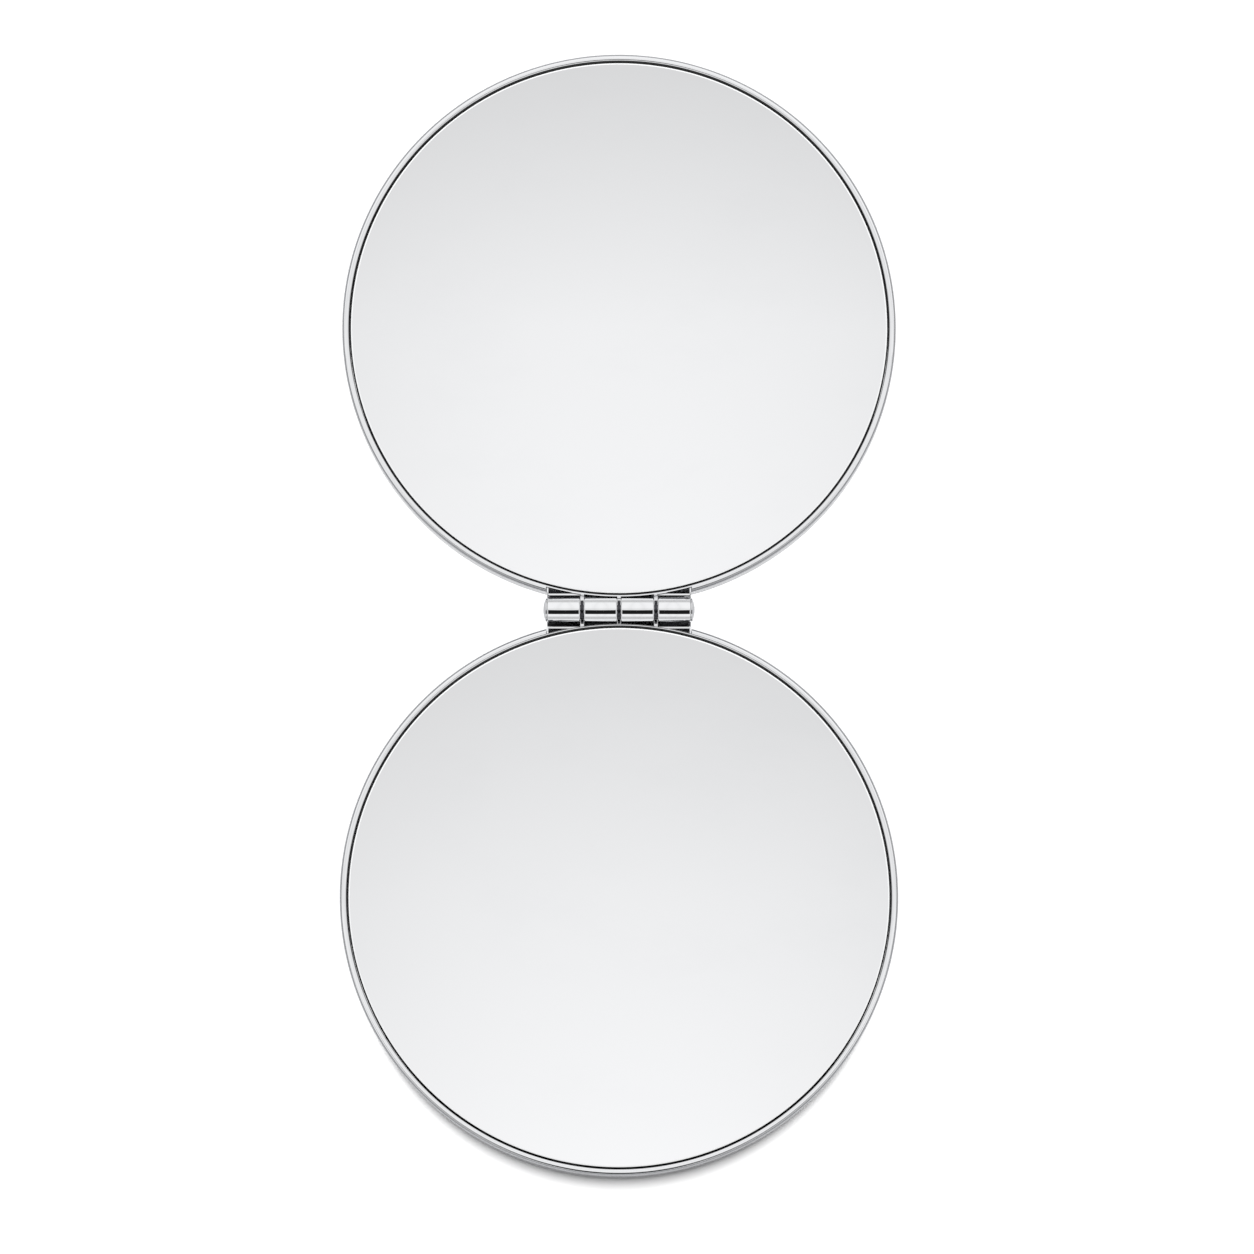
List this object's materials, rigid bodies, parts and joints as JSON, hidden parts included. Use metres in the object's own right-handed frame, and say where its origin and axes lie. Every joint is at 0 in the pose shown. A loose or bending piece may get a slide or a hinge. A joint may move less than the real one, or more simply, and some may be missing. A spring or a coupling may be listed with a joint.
{
  "type": "compact mirror",
  "caption": "Round folding pocket mirror: two thin mirror leaves in polished metal rims on a barrel hinge, opening flat for grooming on the go.",
  "frame": {"origin": "the point of the floor under the middle of the hinge, with both leaves open flat on their backs", "axes": "+X along the hinge, +Y from the hinge towards the lid's free edge, +Z the way both mirrors face"},
  "size_m": [0.07, 0.1422, 0.0056],
  "materials": {
    "cover": "polished plate",
    "frame": "polished plate",
    "hinge": "polished plate",
    "mirror": "silvered glass",
    "pin": "drawn wire",
    "washer": "blued spring steel",
    "magnet": "nickel plate",
    "tape": "foam",
    "board": "grey board"
  },
  "bodies": {
    "base": {"base_back_cover": "cover", "base_frame": "frame", "base_filler_pad": "board", "base_magnet": "magnet", "base_mirror_tape": "tape", "base_mirror": "mirror", "base_hinge_leaf": "hinge", "hinge_pin": "pin", "hinge_cap_right": "hinge", "friction_washer_left": "washer", "friction_washer_centre": "washer", "friction_washer_right": "washer"},
    "lid": {"lid_back_cover": "cover", "lid_frame": "frame", "lid_filler_pad": "board", "lid_magnet": "magnet", "lid_mirror_tape": "tape", "lid_mirror": "mirror", "lid_hinge_leaf": "hinge", "hinge_cap_left": "hinge"}
  },
  "joints": [
    {"name": "lid_fold", "type": "hinge", "parent": "base", "child": "lid", "pos_m": [0, 0, 0.00415], "axis": [1, 0, 0], "range_deg": [0, 180]}
  ]
}
